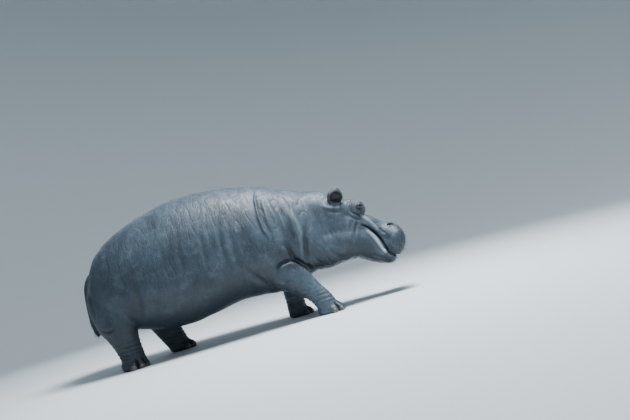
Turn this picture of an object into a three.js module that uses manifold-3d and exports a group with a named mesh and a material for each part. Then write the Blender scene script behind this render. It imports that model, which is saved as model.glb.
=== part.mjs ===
// An adult hippopotamus at a slow walk, life size: barrel trunk, thick folded neck, a long deep head
// carried a little low, four short legs all on the ground, and a short tail hanging against the rump.
// Millimetres, +Z up, the head towards +X and the animal's left side towards +Y.

import * as THREE from "three";
import { mergeVertices } from "three/addons/utils/BufferGeometryUtils.js";
import Module from "manifold-3d";

const wasm = await Module();
wasm.setup();

// ---------------------------------------------------------------- driving sizes

const GAP = 0.8; // clear space at every parting between two pieces
const SLIVER = 0.2; // how far a surface may move to take out the slivers that cutting leaves
const ROOM = 5000; // half size of the blocks that stand for half spaces

const NECK_BASE = { x: 1890, z: 1300, lean: -12 }; // the fold where shoulder and neck part, leaning back
const HEAD_BACK = { x: 2205, z: 800, lean: -2 }; // the fold behind the jaw

const HEAD_ORIGIN = new THREE.Vector3(2350, 0, 800); // middle of the nape, where the head's own frame starts
const HEAD_PITCH = 18; // degrees that the muzzle points below level

const EYE_PLACE = [432, 164, 238]; // left eye, left ear, in the head's frame
const EAR_PLACE = [190, 196, 262];
const EYE_RADIUS = 26;
const EAR_TURN = 18; // degrees that an ear's mouth faces ahead of straight out
const EAR_TILT = -12; // degrees that an ear's tip leans in

const WRIST_Z = 130; // height at which a foot is parted from its leg
const PAD = { z: 42, radii: [112, 108, 78] };
const TOE = { z: 34, radii: [62, 37, 42], droop: 10, spread: 92 };
const NAIL = { z: 22, radii: [30, 27, 26], droop: 25, ahead: 38 };
const TOE_ANGLES = [-52, -17, 17, 52]; // degrees from the foot's heading
const TOE_DRAW = 0.35; // how much nearer the foot's middle a toe stands, for each degree off the heading

// ---------------------------------------------------------------- making solids

// A closed three.js geometry as a solid.
function solid(geometry) {
  const bare = geometry.clone();
  bare.deleteAttribute("normal");
  bare.deleteAttribute("uv");
  const merged = mergeVertices(bare, 1e-4);
  return new wasm.Manifold(
    new wasm.Mesh({
      numProp: 3,
      vertProperties: merged.attributes.position.array,
      triVerts: new Uint32Array(merged.index.array),
    }),
  );
}

const degrees = (angle) => THREE.MathUtils.degToRad(angle);
const power = (value, exponent) => Math.sign(value) * Math.abs(value) ** exponent;

// An ellipsoid with its three radii, turned and placed.
function ovoid(centre, radii, { turn = [0, 0, 0], around = 12, along = 8, grow = 0 } = {}) {
  const ball = new THREE.SphereGeometry(1, around, along);
  ball.rotateX(Math.PI / 2);
  ball.scale(...radii.map((radius) => radius + grow));
  ball.applyMatrix4(new THREE.Matrix4().makeRotationFromEuler(new THREE.Euler(...turn.map(degrees), "ZYX")));
  ball.translate(...centre);
  return solid(ball);
}

// A rounded body carried along a path: the rings of a unit sphere are spread along the path, and each is
// stretched to the section there. A station is [x, y, z, half width, reach ahead or above, reach behind or
// below], and the sections stand square to the path. start and end are the shares of the path that round off.
function carry(stations, { around = 20, along = 20, start = 0.12, end = 0.12, square = 2, grow = 0 } = {}) {
  const curve = (first) =>
    new THREE.CatmullRomCurve3(
      stations.map((station) => new THREE.Vector3(...station.slice(first, first + 3))),
      false,
      "catmullrom",
      0.5,
    );
  const centres = curve(0);
  const reaches = curve(3);
  const shape = new THREE.SphereGeometry(1, around, along);
  const place = shape.attributes.position;
  const uv = shape.attributes.uv;
  for (let i = 0; i < place.count; i++) {
    const step = 1 - uv.getY(i);
    const t = step - 0.08 * Math.sin(2 * Math.PI * step);
    const angle = -2 * Math.PI * uv.getX(i);
    const near = Math.max(0, 1 - t / start);
    const far = Math.max(0, 1 - (1 - t) / end);
    const round = Math.sqrt(Math.max(0, 1 - near * near)) * Math.sqrt(Math.max(0, 1 - far * far));
    const centre = centres.getPoint(t);
    const reach = reaches.getPoint(t);
    const way = centres.getTangent(t);
    const size = Math.hypot(way.x, way.z);
    const across = power(Math.cos(angle), 2 / square) * (reach.x + grow) * round;
    const rise = power(Math.sin(angle), 2 / square);
    const out = rise * ((rise > 0 ? reach.y : reach.z) + grow) * round;
    place.setXYZ(
      i,
      centre.x - (way.z / size) * out + (way.x / size) * grow * (far > 0 ? 1 : near > 0 ? -1 : 0),
      centre.y + across,
      centre.z + (way.x / size) * out + (way.z / size) * grow * (far > 0 ? 1 : near > 0 ? -1 : 0),
    );
  }
  return solid(shape);
}

// The half space ahead of an upright plane that leans, by degrees that its lower end lies forward.
function ahead({ x, z, lean }, shift = 0) {
  const block = new THREE.BoxGeometry(ROOM, ROOM, ROOM);
  block.translate(ROOM / 2 + shift, 0, 0);
  block.rotateY(degrees(lean));
  block.translate(x, 0, z);
  return solid(block);
}

// The half space above a level.
function above(z) {
  const block = new THREE.BoxGeometry(2 * ROOM, ROOM, ROOM);
  block.translate(0, 0, z + ROOM / 2);
  return solid(block);
}

const join = (solids) => wasm.Manifold.union(solids);
const largest = (body) => body.decompose().sort((a, b) => b.volume() - a.volume())[0];
const mirrored = ([x, y, z], side) => [x, side * y, z];

// ---------------------------------------------------------------- trunk and neck

// One station of the barrel: place along the back, top, bottom, half width, and the height where it is widest.
const barrelStation = (x, top, bottom, half, widest) => [x, 0, widest, half, top - widest, widest - bottom];
const barrelStations = [
  barrelStation(95, 880, 385, 275, 640), // rump
  barrelStation(270, 1062, 345, 382, 660), // croup
  barrelStation(500, 1262, 315, 450, 690), // hips
  barrelStation(745, 1380, 258, 488, 700), // loin
  barrelStation(990, 1438, 243, 502, 700), // deepest belly
  barrelStation(1240, 1460, 280, 496, 715), // highest back
  barrelStation(1490, 1448, 325, 475, 730), // ribs
  barrelStation(1720, 1416, 318, 450, 740), // behind the shoulder
  barrelStation(1910, 1368, 300, 418, 745), // brisket
  barrelStation(2090, 1296, 350, 374, 745), // neck
  barrelStation(2270, 1236, 405, 316, 755), // nape
  barrelStation(2430, 1150, 450, 256, 765), // inside the head
  barrelStation(2570, 1055, 490, 215, 770),
];
const barrel = (grow) =>
  carry(barrelStations, { around: 26, along: 26, start: 0.11, end: 0.06, square: 2.15, grow });

// ---------------------------------------------------------------- head

// Sizes in the head's own frame: x forward along the skull, z up. A station is x, top, bottom, half width
// and the height where it is widest, as on the barrel.
const skullStations = [
  barrelStation(-240, 366, -200, 234, 80), // nape, inside the neck
  barrelStation(-60, 392, -230, 256, 50),
  barrelStation(100, 376, -230, 264, 30), // crown, between the ears
  barrelStation(230, 336, -210, 258, 20),
  barrelStation(340, 292, -170, 240, 15),
  barrelStation(440, 242, -110, 204, 25), // between the eyes
  barrelStation(530, 174, -50, 158, 50),
  barrelStation(620, 132, -90, 145, 20), // the narrow of the snout
  barrelStation(710, 120, -160, 175, -20),
  barrelStation(800, 96, -225, 208, -60), // muzzle
  barrelStation(905, 56, -245, 205, -75), // front of the upper lip
];
const jawStations = [
  barrelStation(-150, -20, -380, 262, -190), // throat, inside the neck
  barrelStation(0, 20, -392, 276, -165),
  barrelStation(130, 60, -374, 282, -145), // angle of the jaw
  barrelStation(270, 90, -312, 276, -110),
  barrelStation(400, 85, -268, 248, -80),
  barrelStation(510, 45, -273, 222, -90),
  barrelStation(590, -45, -296, 212, -140),
  barrelStation(670, -145, -302, 207, -195), // shelf of the lower lip
  barrelStation(760, -185, -300, 205, -232),
  barrelStation(852, -195, -284, 191, -238), // chin
];

function skull(grow) {
  return join([
    carry(skullStations, { around: 20, along: 20, start: 0.05, end: 0.11, square: 2.4, grow }),
    carry(jawStations, { around: 18, along: 15, start: 0.14, end: 0.1, square: 2.3, grow }),
    ...[-1, 1].flatMap((side) => [
      ovoid([378, side * 117, 222], [130, 67, 86], { grow, turn: [0, 8, 0] }), // brow
      ovoid([434, side * 128, 234], [62, 52, 66], { grow, around: 10, along: 6 }), // rim of the eye's socket
      ovoid([800, side * 113, -76], [105, 110, 150], { grow }), // side of the muzzle
      ovoid([748, side * 68, 72], [70, 46, 42], { grow, around: 10, along: 6 }), // nostril
    ]),
  ]);
}

// The space below the line of the mouth, from the front of the lips back to the corner under the eye, and
// from there down behind the jaw.
function belowMouth(shift) {
  const line = new THREE.Shape();
  line.moveTo(1100, -212 + shift);
  line.lineTo(850, -212 + shift);
  line.bezierCurveTo(740, -212 + shift, 700 + shift, -205, 668 + shift, -140);
  line.bezierCurveTo(640 + shift, -75, 600, -15 + shift, 462 - shift, 75 + shift);
  line.lineTo(150 - shift, -160);
  line.lineTo(150 - shift, -600);
  line.lineTo(1100, -600);
  line.closePath();
  const space = new THREE.ExtrudeGeometry(line, { depth: 1200, bevelEnabled: false, curveSegments: 6 });
  space.rotateX(Math.PI / 2);
  space.translate(0, 600, 0);
  return solid(space);
}

const headMatrix = new THREE.Matrix4()
  .makeTranslation(HEAD_ORIGIN)
  .multiply(new THREE.Matrix4().makeRotationY(degrees(HEAD_PITCH)));
const onHead = (body) => body.transform(headMatrix.elements);

// One ear: a small upright cup that faces out and a little forward, on a short thick stalk.
function ear(side) {
  const cup = ovoid([0, 0, 66], [75, 37, 82]).subtract(ovoid([0, 30, 72], [59, 44, 66], { around: 10 }));
  const stalk = ovoid([0, -4, 0], [44, 31, 56], { around: 10, along: 6 });
  const turned = new THREE.Matrix4()
    .makeTranslation(...mirrored(EAR_PLACE, side))
    .multiply(new THREE.Matrix4().makeRotationZ(degrees(side > 0 ? -EAR_TURN : 180 + EAR_TURN)))
    .multiply(new THREE.Matrix4().makeRotationX(degrees(EAR_TILT)));
  return onHead(join([cup, stalk]).transform(turned.elements));
}

// ---------------------------------------------------------------- legs and feet

// A leg station is place along the ground, height, distance from the middle plane, half width, reach ahead
// and reach behind.
const legStation = (x, z, out, half, front, back) => ({ x, z, out, half, front, back });
const legs = {
  front_right: {
    side: -1,
    heading: -18,
    foot: [2294, 262],
    stations: [
      legStation(1830, 800, 215, 130, 190, 190), // shoulder
      legStation(1905, 620, 245, 128, 172, 185),
      legStation(1990, 460, 262, 122, 150, 150), // elbow
      legStation(2100, 340, 266, 108, 130, 120), // forearm
      legStation(2200, 218, 264, 95, 104, 90),
      legStation(2268, 98, 262, 98, 106, 88), // wrist
      legStation(2284, 20, 262, 104, 112, 96),
    ],
  },
  front_left: {
    side: 1,
    heading: 4,
    foot: [2008, 255],
    stations: [
      legStation(1880, 800, 215, 130, 190, 190),
      legStation(1935, 620, 245, 128, 172, 172),
      legStation(1985, 460, 258, 120, 140, 142),
      legStation(2008, 330, 262, 106, 112, 112),
      legStation(2000, 210, 258, 96, 100, 100),
      legStation(1996, 95, 255, 98, 102, 98),
      legStation(2000, 20, 255, 102, 106, 102),
    ],
  },
  back_right: {
    side: -1,
    heading: -26,
    foot: [420, 262],
    stations: [
      legStation(400, 820, 220, 150, 250, 250), // hip
      legStation(375, 640, 250, 152, 235, 225), // thigh
      legStation(368, 470, 266, 145, 188, 190), // knee
      legStation(392, 335, 268, 128, 146, 140),
      legStation(415, 215, 264, 110, 118, 116), // hock
      legStation(428, 100, 262, 100, 116, 104),
      legStation(426, 20, 262, 104, 112, 104),
    ],
  },
  back_left: {
    side: 1,
    heading: 6,
    foot: [775, 262],
    stations: [
      legStation(520, 820, 220, 150, 250, 250),
      legStation(570, 640, 250, 152, 220, 225),
      legStation(620, 470, 268, 142, 180, 180),
      legStation(665, 330, 268, 124, 150, 150),
      legStation(705, 205, 264, 106, 125, 125),
      legStation(750, 95, 262, 100, 110, 110),
      legStation(768, 20, 262, 104, 112, 104),
    ],
  },
};

// A point in line with a toe: beyond is the distance past the toe's own middle.
function toePlace({ side, heading, foot: [x, out] }, angle, beyond, z) {
  const way = degrees(heading + angle);
  const distance = TOE.spread - TOE_DRAW * Math.abs(angle) + beyond;
  return [x + distance * Math.cos(way), side * out + distance * Math.sin(way), z];
}

function wholeLeg(plan, grow) {
  const { side, heading, foot, stations } = plan;
  const shank = carry(
    stations.map(({ x, z, out, half, front, back }) => [x, side * out, z, half, front, back]),
    { around: 16, along: 12, start: 0.12, end: 0.04, grow },
  );
  const pad = ovoid([foot[0], side * foot[1], PAD.z], PAD.radii, { grow });
  const digits = TOE_ANGLES.map((angle) => {
    const turn = [0, TOE.droop, heading + angle];
    return ovoid(toePlace(plan, angle, 0, TOE.z), TOE.radii, { turn, around: 8, along: 6, grow });
  });
  return join([shank, pad, ...digits]).intersect(above(0));
}

function nails(plan) {
  return TOE_ANGLES.map((angle) => {
    const turn = [0, NAIL.droop, plan.heading + angle];
    const nail = ovoid(toePlace(plan, angle, NAIL.ahead, NAIL.z), NAIL.radii, { turn, around: 8, along: 6 });
    return nail.intersect(above(0));
  });
}

// ---------------------------------------------------------------- tail

const tailStations = [
  [200, 0, 960, 60, 70, 60], // root, inside the rump
  [118, 0, 850, 50, 50, 48],
  [92, 0, 730, 38, 38, 40],
  [80, 0, 600, 28, 30, 34],
  [82, 0, 480, 18, 28, 32],
  [100, 0, 365, 9, 24, 26], // flat tip
];

// ---------------------------------------------------------------- parting and assembly

const hide = { color: 0x4c5b66, roughness: 0.55, metalness: 0 };
const finishes = {
  hide: new THREE.MeshStandardMaterial(hide),
  ear_skin: new THREE.MeshStandardMaterial({ ...hide, color: 0x5d6065 }),
  horn: new THREE.MeshStandardMaterial({ color: 0x6b6459, roughness: 0.45, metalness: 0 }),
  eye: new THREE.MeshStandardMaterial({ color: 0x1b1410, roughness: 0.08, metalness: 0 }),
};
const animal = new THREE.Group();

function add(name, body, finish) {
  const { vertProperties, triVerts, numProp } = largest(body.simplify(SLIVER)).getMesh();
  const geometry = new THREE.BufferGeometry();
  const places = new Float32Array((vertProperties.length / numProp) * 3);
  for (let i = 0; i < places.length / 3; i++) {
    places.set(vertProperties.subarray(i * numProp, i * numProp + 3), i * 3);
  }
  geometry.setAttribute("position", new THREE.BufferAttribute(places, 3));
  geometry.setIndex(new THREE.BufferAttribute(triVerts, 1));
  geometry.computeVertexNormals();
  const mesh = new THREE.Mesh(geometry, finishes[finish]);
  mesh.name = name;
  animal.add(mesh);
}

function eyeBall(side, grow) {
  return onHead(ovoid(mirrored(EYE_PLACE, side), [EYE_RADIUS, EYE_RADIUS, EYE_RADIUS], { grow }));
}
const sideName = (side) => (side > 0 ? "left" : "right");

const body = join([barrel(0), onHead(skull(0))]);
const bodyGrown = join([barrel(GAP), onHead(skull(GAP))]);

add("trunk", body.subtract(ahead(NECK_BASE, -GAP)), "hide");
add("neck", body.intersect(ahead(NECK_BASE)).subtract(ahead(HEAD_BACK, -GAP)), "hide");
add("tail", carry(tailStations, { around: 10, along: 12, start: 0.1, end: 0.1 }).subtract(bodyGrown), "hide");

const sockets = join([eyeBall(-1, GAP), eyeBall(1, GAP)]);
const wholeHead = body.intersect(ahead(HEAD_BACK)).subtract(sockets);
add("head", wholeHead.subtract(onHead(belowMouth(GAP))), "hide");
add("lower_jaw", wholeHead.intersect(onHead(belowMouth(0))), "hide");
for (const side of [1, -1]) {
  add(`ear_${sideName(side)}`, ear(side).subtract(bodyGrown), "ear_skin");
  add(`eye_${sideName(side)}`, eyeBall(side, 0), "eye");
}

for (const [name, plan] of Object.entries(legs)) {
  const leg = wholeLeg(plan, 0).subtract(bodyGrown);
  const grown = wholeLeg(plan, GAP);
  add(`leg_${name}`, leg.intersect(above(WRIST_Z + GAP)), "hide");
  add(`foot_${name}`, leg.subtract(above(WRIST_Z)), "hide");
  nails(plan).forEach((nail, i) => add(`nail_${name}_${i + 1}`, nail.subtract(grown), "horn"));
}

// The part's origin is on the ground, under the middle of the whole animal.
const reach = new THREE.Box3().setFromObject(animal);
const middle = reach.getCenter(new THREE.Vector3());
for (const mesh of animal.children) {
  mesh.geometry.translate(-middle.x, -middle.y, -reach.min.z);
}

export default animal;
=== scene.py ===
import math
from functools import partial
from itertools import chain, product

import bmesh
import bpy
import numpy as np
from mathutils import Matrix, Vector


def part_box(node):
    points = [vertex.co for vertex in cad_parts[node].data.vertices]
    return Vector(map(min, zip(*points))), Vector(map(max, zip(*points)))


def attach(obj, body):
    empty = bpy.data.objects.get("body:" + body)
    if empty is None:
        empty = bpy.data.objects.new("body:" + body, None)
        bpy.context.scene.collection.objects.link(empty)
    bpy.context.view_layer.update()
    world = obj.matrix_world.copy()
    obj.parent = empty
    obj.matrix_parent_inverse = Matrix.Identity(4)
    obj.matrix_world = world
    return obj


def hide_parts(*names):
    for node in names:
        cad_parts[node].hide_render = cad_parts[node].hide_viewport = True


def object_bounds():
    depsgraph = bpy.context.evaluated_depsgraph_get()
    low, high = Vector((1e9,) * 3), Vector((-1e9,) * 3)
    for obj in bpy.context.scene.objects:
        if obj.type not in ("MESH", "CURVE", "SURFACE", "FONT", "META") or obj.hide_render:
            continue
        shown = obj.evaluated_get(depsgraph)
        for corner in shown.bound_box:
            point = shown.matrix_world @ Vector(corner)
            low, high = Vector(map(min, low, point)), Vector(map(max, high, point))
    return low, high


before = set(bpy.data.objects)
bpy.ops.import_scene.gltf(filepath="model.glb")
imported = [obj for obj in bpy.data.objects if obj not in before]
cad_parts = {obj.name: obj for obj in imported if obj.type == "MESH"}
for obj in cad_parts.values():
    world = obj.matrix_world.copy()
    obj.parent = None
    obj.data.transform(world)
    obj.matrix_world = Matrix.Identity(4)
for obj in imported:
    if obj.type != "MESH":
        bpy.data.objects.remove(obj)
cad_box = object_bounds()

# ---------------- the animal's own layout
# The shapes are worked out in millimetres, from the rump at x = 0 towards the muzzle, with z up from the
# ground and the left side towards +y. The head has a frame of its own at the nape, pitched down. The left
# eye, which is a ball in the frame, says where this layout lies in the frame.

MM = 0.001
HEAD_ORIGIN = np.array([2350.0, 0.0, 800.0])
HEAD_PITCH = math.radians(18)
EYE_PLACE = np.array([432.0, 164.0, 238.0])
EYE_RADIUS = 26.0
SIDES = {"right": -1, "left": 1}


def head_to_body(points):
    """Head frame to body layout: turned about y by the pitch, then moved to the nape."""
    x, y, z = np.moveaxis(np.asarray(points, float), -1, 0)
    c, s = math.cos(HEAD_PITCH), math.sin(HEAD_PITCH)
    return HEAD_ORIGIN + np.stack([x * c + z * s, y, z * c - x * s], axis=-1)


def body_to_head(points):
    """Body layout to head frame: the other way round."""
    x, y, z = np.moveaxis(np.asarray(points, float) - HEAD_ORIGIN, -1, 0)
    c, s = math.cos(HEAD_PITCH), math.sin(HEAD_PITCH)
    return np.stack([x * c - z * s, y, x * s + z * c], axis=-1)


eye_low, eye_high = (np.array(corner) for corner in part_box("eye_left"))
LAYOUT_SHIFT = (eye_low + eye_high) / 2 - head_to_body(EYE_PLACE) * MM


def to_frame(points):
    """Millimetres of the layout to metres of the frame."""
    return np.asarray(points) * MM + LAYOUT_SHIFT


def from_frame(points):
    """Metres of the frame to millimetres of the layout."""
    return (np.asarray(points) - LAYOUT_SHIFT) / MM


# ---------------- flesh
# Trunk, neck, head, legs and tail as closed rounded bodies that run into each other, on the same stations as
# the solids. One fine net is drawn over all of them.

def smooth_path(points, share):
    """Uniform Catmull-Rom curve through the points at shares 0 to 1 of its spans, and its derivative."""
    points = np.asarray(points, float)
    ends = 2 * points[0] - points[1], 2 * points[-1] - points[-2]
    points = np.vstack([ends[0], points, ends[1]])
    place = np.clip(share, 0, 1) * (len(points) - 3)
    first = np.minimum(place.astype(int), len(points) - 4)
    t = (place - first)[:, None]
    a, b, c, d = (points[first + k] for k in range(4))
    cube, square, line = 3 * b - a - 3 * c + d, 2 * a - 5 * b + 4 * c - d, c - a
    return b + (line * t + square * t**2 + cube * t**3) / 2, (line + 2 * square * t + 3 * cube * t**2) / 2


def closed(rings):
    """A closed shell that faces out, from rings of points between two poles: vertices and blocks of faces.

    Neighbouring rings are joined by four-sided faces, wrapped round, and each end ring shrinks to one point.
    """
    rows, columns = rings.shape[0] - 2, rings.shape[1]
    vertices = np.vstack([rings[0].mean(0), rings[1:-1].reshape(-1, 3), rings[-1].mean(0)])
    row, column = np.mgrid[0:rows - 1, 0:columns]
    here = 1 + row * columns + column
    beside = 1 + row * columns + (column + 1) % columns
    quads = np.stack([here, beside, beside + columns, here + columns], -1).reshape(-1, 4)
    ring = np.arange(columns)
    after = (ring + 1) % columns
    first = np.stack([np.zeros_like(ring), 1 + after, 1 + ring], -1)
    last_row = 1 + (rows - 1) * columns
    last = np.stack([np.full_like(ring, len(vertices) - 1), last_row + ring, last_row + after], -1)
    corner = vertices[quads]
    volume = np.einsum("ij,ij->", corner[:, 0], np.cross(corner[:, 1], corner[:, 2] + corner[:, 3]))
    faces = [quads, first, last]
    if volume < 0:
        faces = [block[:, ::-1] for block in faces]
    return vertices, faces


def signed_power(value, exponent):
    """The sign of the value times its size to the exponent."""
    return np.sign(value) * np.abs(value) ** exponent


CROWDING = 0.08  # how much a body's rings crowd towards its ends


def carried(stations, around=72, along=90, start=0.12, end=0.12, square=2.0):
    """A rounded body along a path of stations: x, y, z, half width, reach above or ahead, below or behind.

    At each share of the path the section is a superellipse square to the path, and both ends round off as a
    quarter ellipse over the shares start and end.
    """
    step = np.linspace(0, 1, along)
    share = step - CROWDING * np.sin(2 * np.pi * step)
    stations = np.asarray(stations, float)
    centre, way = smooth_path(stations[:, :3], share)
    reach, _ = smooth_path(stations[:, 3:], share)
    near = np.maximum(0, 1 - share / start)
    far = np.maximum(0, 1 - (1 - share) / end)
    rounding = (np.sqrt(1 - near**2) * np.sqrt(1 - far**2))[:, None]
    angle = np.linspace(0, 2 * np.pi, around, endpoint=False)[None, :]
    across = signed_power(np.cos(angle), 2 / square) * reach[:, :1] * rounding
    rise = signed_power(np.sin(angle), 2 / square)
    out = rise * np.where(rise > 0, reach[:, 1:2], reach[:, 2:3]) * rounding
    way = way / np.hypot(way[:, 0], way[:, 2])[:, None]
    x, y, z = centre.T[:, :, None]
    return closed(np.stack([x - way[:, 2:3] * out, y + across, z + way[:, :1] * out], -1))


def turn_matrix(x=0.0, y=0.0, z=0.0):
    """Turning about x, then y, then z, in degrees."""
    turn = Matrix.Rotation(math.radians(z), 3, "Z") @ Matrix.Rotation(math.radians(y), 3, "Y")
    return np.array(turn @ Matrix.Rotation(math.radians(x), 3, "X"))


def ovoid(centre, radii, turn=np.eye(3), around=40, along=28):
    """An ellipsoid from rings of latitude, stretched by its radii, turned and placed."""
    latitude = np.linspace(-np.pi / 2, np.pi / 2, along)[:, None]
    longitude = np.linspace(0, 2 * np.pi, around, endpoint=False)[None, :]
    ball = np.stack([
        np.cos(latitude) * np.cos(longitude),
        np.cos(latitude) * np.sin(longitude),
        np.sin(latitude) * np.ones_like(longitude),
    ], -1)
    return closed((ball * np.asarray(radii)) @ turn.T + np.asarray(centre))


def barrel_station(x, top, bottom, half, widest):
    """A station of the trunk or head: its top, bottom, half width and the height where it is widest."""
    return x, 0, widest, half, top - widest, widest - bottom


TRUNK = [barrel_station(*row) for row in (
    (95, 880, 385, 275, 640), (270, 1062, 345, 382, 660),
    (500, 1262, 315, 450, 690), (745, 1380, 258, 488, 700),
    (990, 1438, 243, 502, 700), (1240, 1460, 280, 496, 715),
    (1490, 1448, 325, 475, 730), (1720, 1416, 318, 450, 740),
    (1910, 1368, 300, 418, 745), (2090, 1296, 350, 374, 745),
    (2270, 1236, 405, 316, 755), (2430, 1150, 450, 256, 765),
    (2570, 1055, 490, 215, 770),
)]
SKULL = [barrel_station(*row) for row in (
    (-240, 366, -200, 234, 80), (-60, 392, -230, 256, 50),
    (100, 376, -230, 264, 30), (230, 336, -210, 258, 20),
    (340, 292, -170, 240, 15), (440, 242, -110, 204, 25),
    (530, 174, -50, 158, 50), (620, 132, -90, 145, 20),
    (710, 120, -160, 175, -20), (800, 96, -225, 208, -60),
    (905, 56, -245, 205, -75),
)]
JAW = [barrel_station(*row) for row in (
    (-150, -20, -380, 262, -190), (0, 20, -392, 276, -165),
    (130, 60, -374, 282, -145), (270, 90, -312, 276, -110),
    (400, 85, -268, 248, -80), (510, 45, -273, 222, -90),
    (590, -45, -296, 212, -140), (670, -145, -302, 207, -195),
    (760, -185, -300, 205, -232), (840, -195, -286, 191, -238),
)]
TAIL = (
    (200, 0, 960, 60, 70, 60), (118, 0, 850, 50, 50, 48),
    (92, 0, 730, 38, 38, 40), (80, 0, 600, 28, 30, 34),
    (82, 0, 480, 18, 28, 32), (100, 0, 365, 9, 24, 26),
)

# A leg: side, heading of its foot in degrees, the foot's middle, and stations of place along the ground,
# height, distance from the middle plane, half width, reach ahead and reach behind.
LEGS = {
    "front_right": (-1, -18, (2294, 262), (
        (1830, 800, 215, 130, 190, 190), (1905, 620, 245, 128, 172, 185),
        (1990, 460, 262, 122, 150, 150), (2100, 340, 266, 108, 130, 120),
        (2200, 218, 264, 95, 104, 90), (2268, 98, 262, 98, 106, 88),
        (2284, 20, 262, 104, 112, 96),
    )),
    "front_left": (1, 4, (2008, 255), (
        (1880, 800, 215, 130, 190, 190), (1935, 620, 245, 128, 172, 172),
        (1985, 460, 258, 120, 140, 142), (2008, 330, 262, 106, 112, 112),
        (2000, 210, 258, 96, 100, 100), (1996, 95, 255, 98, 102, 98),
        (2000, 20, 255, 102, 106, 102),
    )),
    "back_right": (-1, -26, (420, 262), (
        (400, 820, 220, 150, 250, 250), (375, 640, 250, 152, 235, 225),
        (368, 470, 266, 145, 188, 190), (392, 335, 268, 128, 146, 140),
        (415, 215, 264, 110, 118, 116), (428, 100, 262, 100, 116, 104),
        (426, 20, 262, 104, 112, 104),
    )),
    "back_left": (1, 6, (775, 262), (
        (520, 820, 220, 150, 250, 250), (570, 640, 250, 152, 220, 225),
        (620, 470, 268, 142, 180, 180), (665, 330, 268, 124, 150, 150),
        (705, 205, 264, 106, 125, 125), (750, 95, 262, 100, 110, 110),
        (768, 20, 262, 104, 112, 104),
    )),
}
PAD_HEIGHT, PAD_RADII = 42, (112, 108, 78)
TOE_ANGLES = (-52, -17, 17, 52)
TOE_HEIGHT, TOE_RADII, TOE_DROOP = 34, (62, 37, 42), 10
TOE_SPREAD, TOE_DRAW = 92, 0.35


def toe_place(leg, angle, beyond, height):
    """A point in line with a toe, that far past the toe's own middle. The outer toes stand further back."""
    side, heading, (x, out), _ = leg
    way = math.radians(heading + angle)
    distance = TOE_SPREAD - TOE_DRAW * abs(angle) + beyond
    return np.array([x + distance * math.cos(way), side * out + distance * math.sin(way), height])


EAR_PLACE = np.array([190.0, 196.0, 262.0])
EAR_RADII, EAR_RISE = (80, 38, 84), 66
CUP_RADII, CUP_RISE, CUP_AHEAD = (62, 50, 63), 49, 30


def ear_taper(height):
    """How an ear narrows above its middle: by a quarter at the tip."""
    return 1 - 0.25 * np.clip((height - EAR_RISE) / EAR_RADII[2], 0, 1) ** 1.5


def across_cup(local):
    """How far out in its cup a point of an ear's frame lies: squared, 0 in the middle and 1 at the rim."""
    x, _, z = local.T
    return (x / CUP_RADII[0] / ear_taper(z)) ** 2 + ((z - CUP_RISE) / CUP_RADII[2]) ** 2


def ear_turn(side):
    """An ear's own frame: its mouth towards +y, turned to face out and a little ahead, the tip leaning in."""
    return turn_matrix(z=-18 if side > 0 else 198) @ turn_matrix(x=-12)


def in_ear(head, side):
    """Points of the head's frame in an ear's own frame."""
    return (head - EAR_PLACE * (1, side, 1)) @ ear_turn(side)


def on_head(shell):
    """A shell made in the head's frame, in the body layout."""
    return head_to_body(shell[0]), shell[1]


shells = [carried(TRUNK, 120, 160, 0.11, 0.06, 2.15), carried(TAIL, 32, 60, 0.1, 0.1)]
shells.append(on_head(carried(SKULL, 80, 90, 0.05, 0.11, 2.4)))
shells.append(on_head(carried(JAW, 80, 80, 0.14, 0.1, 2.3)))
for side in SIDES.values():
    shells.append(on_head(ovoid((378, side * 117, 222), (132, 68, 86), turn_matrix(y=8))))  # brow
    shells.append(on_head(ovoid((434, side * 128, 234), (62, 52, 66))))  # socket
    shells.append(on_head(ovoid((800, side * 113, -76), (105, 110, 150))))  # side of the muzzle
    shells.append(on_head(ovoid((748, side * 68, 72), (70, 46, 42))))  # nostril
    turn = ear_turn(side)
    place = EAR_PLACE * (1, side, 1)
    leaf, faces = ovoid((0, 0, EAR_RISE), EAR_RADII)
    leaf[:, 0] *= ear_taper(leaf[:, 2])
    shells.append(on_head((leaf @ turn.T + place, faces)))
    shells.append(on_head(ovoid(place + turn @ (0, -4, 0), (44, 31, 56), turn)))
for leg in LEGS.values():
    side, heading, (x, out), stations = leg
    shells.append(carried([(s[0], side * s[2], s[1], *s[3:]) for s in stations], 56, 60, 0.12, 0.04))
    shells.append(ovoid((x, side * out, PAD_HEIGHT), PAD_RADII))
    for angle in TOE_ANGLES:
        turn = turn_matrix(y=TOE_DROOP, z=heading + angle)
        shells.append(ovoid(toe_place(leg, angle, 0, TOE_HEIGHT), TOE_RADII, turn, 28, 20))


def new_piece(name, vertices, faces):
    """A smooth shaded object at the origin, from points in the frame's metres and blocks of faces."""
    mesh = bpy.data.meshes.new(name)
    mesh.from_pydata(vertices.tolist(), [], [*chain(*(block.tolist() for block in faces))])
    mesh.shade_smooth()
    piece = bpy.data.objects.new(name, mesh)
    bpy.context.scene.collection.objects.link(piece)
    return piece


def joined(shells):
    """Several shells as one: their vertices, and their blocks of faces counted on from the shell before."""
    starts = np.cumsum([0] + [len(vertices) for vertices, _ in shells[:-1]])
    faces = [block + start for start, (_, blocks) in zip(starts, shells) for block in blocks]
    return np.vstack([vertices for vertices, _ in shells]), faces


def settled(piece):
    """Applies the piece's modifiers to its mesh, and leaves none."""
    mesh = bpy.data.meshes.new_from_object(piece.evaluated_get(bpy.context.evaluated_depsgraph_get()))
    piece.modifiers.clear()
    piece.data = mesh


NET = 5.5  # spacing of the net over the flesh
vertices, faces = joined(shells)
skin = new_piece("hide", to_frame(vertices), faces)
net = skin.modifiers.new("net", "REMESH")
net.mode = "VOXEL"
net.voxel_size = NET * MM
settled(skin)

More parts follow.
